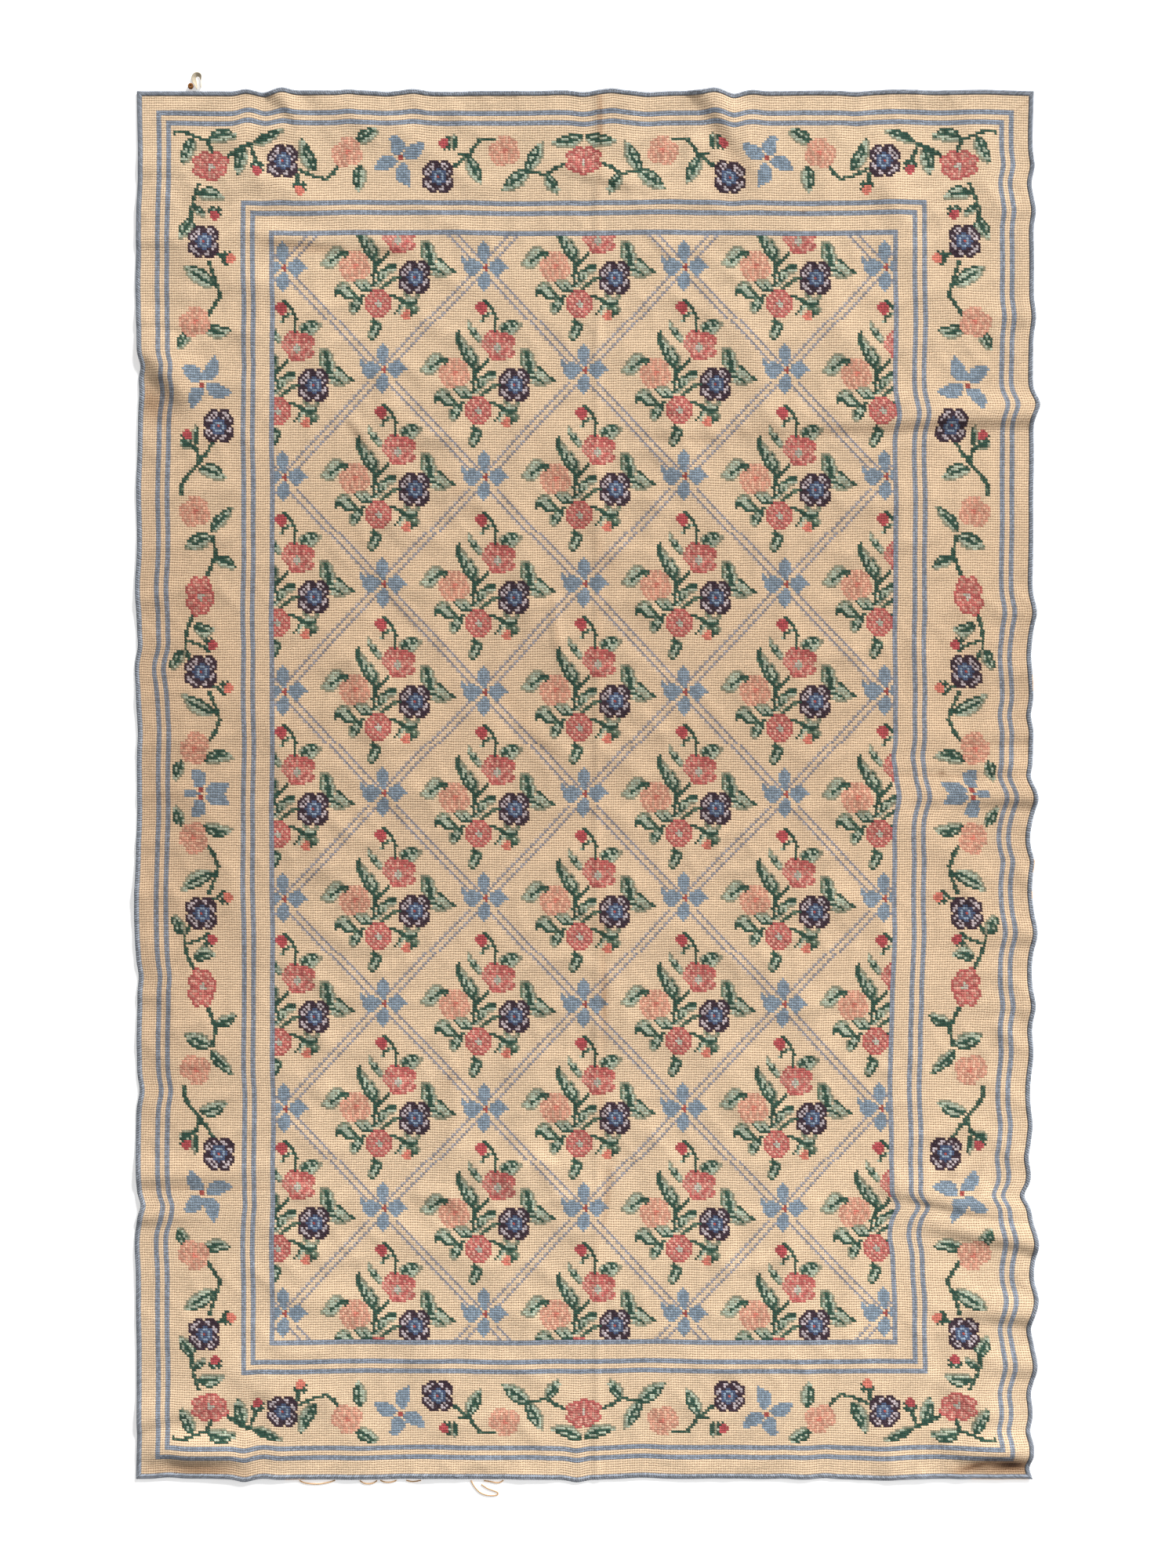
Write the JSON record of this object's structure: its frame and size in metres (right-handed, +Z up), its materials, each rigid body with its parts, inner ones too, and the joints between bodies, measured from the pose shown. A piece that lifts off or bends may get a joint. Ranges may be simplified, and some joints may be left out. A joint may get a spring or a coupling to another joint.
{
  "type": "needlepoint rug",
  "caption": "Room-size wool needlepoint rug lying flat, with a whipped edge, low ridges, a wavy outline, a tape tie and loose yarn",
  "frame": {"origin": "on the floor, at the middle of the box of the cloth and its whipped edge", "axes": "+Z is up, off the stitched face. +Y runs along the length to the end with the tape tie, and +X across to the right, seen from above."},
  "size_m": [1.8321, 2.8824, 0.0203],
  "materials": {
    "stitched_wool": "cream wool tent stitch on canvas, matt, with flowers in rose, pink, plum, blue and green",
    "edge_wool": "grey-blue wool, overcast in slanting stitches, matt",
    "tie_tape": "off-white woven cotton tape",
    "knot_thread": "brown wound thread",
    "loose_yarn": "tan wool yarn, lightly twisted"
  },
  "bodies": {
    "root": {"rug_cloth": "stitched_wool", "edge_binding_top": "edge_wool", "edge_binding_right": "edge_wool", "edge_binding_bottom": "edge_wool", "edge_binding_left": "edge_wool", "hanging_tie": "tie_tape", "tie_knot": "knot_thread", "yarn_loop_1": "loose_yarn", "yarn_loop_2": "loose_yarn", "yarn_loop_3": "loose_yarn", "yarn_loop_4": "loose_yarn", "yarn_loop_5": "loose_yarn", "yarn_bunch": "loose_yarn"}
  },
  "joints": []
}
